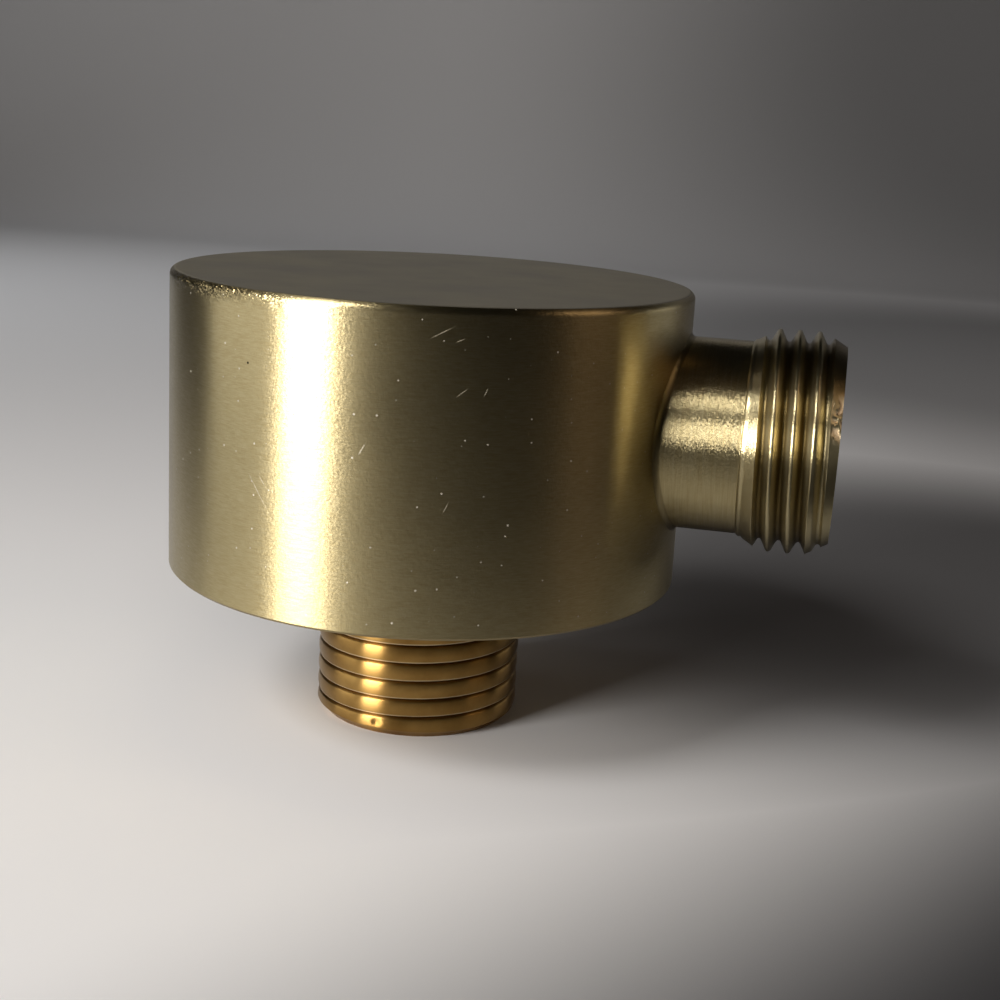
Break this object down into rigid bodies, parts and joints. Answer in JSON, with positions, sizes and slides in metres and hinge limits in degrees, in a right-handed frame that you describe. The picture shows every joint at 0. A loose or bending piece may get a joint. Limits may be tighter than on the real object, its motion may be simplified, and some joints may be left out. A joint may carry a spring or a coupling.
{
  "type": "wall outlet elbow",
  "caption": "Round drum-shaped wall outlet elbow with a threaded inlet nipple at its back and a threaded side outlet for a shower hose.",
  "frame": {"origin": "centre of the drum's open back, in the wall plane, on the inlet axis", "axes": "+Z out of the wall along the inlet axis, towards the drum's front face; +X along the outlet axis, out of the outlet"},
  "size_m": [0.0644, 0.05, 0.0437],
  "materials": {
    "brushed_gold_plating": "brushed pale gold plating, satin",
    "raw_turned_brass": "raw turned brass, unplated"
  },
  "bodies": {
    "root": {"elbow_body": "brushed_gold_plating", "inlet_nipple": "raw_turned_brass"}
  },
  "joints": []
}
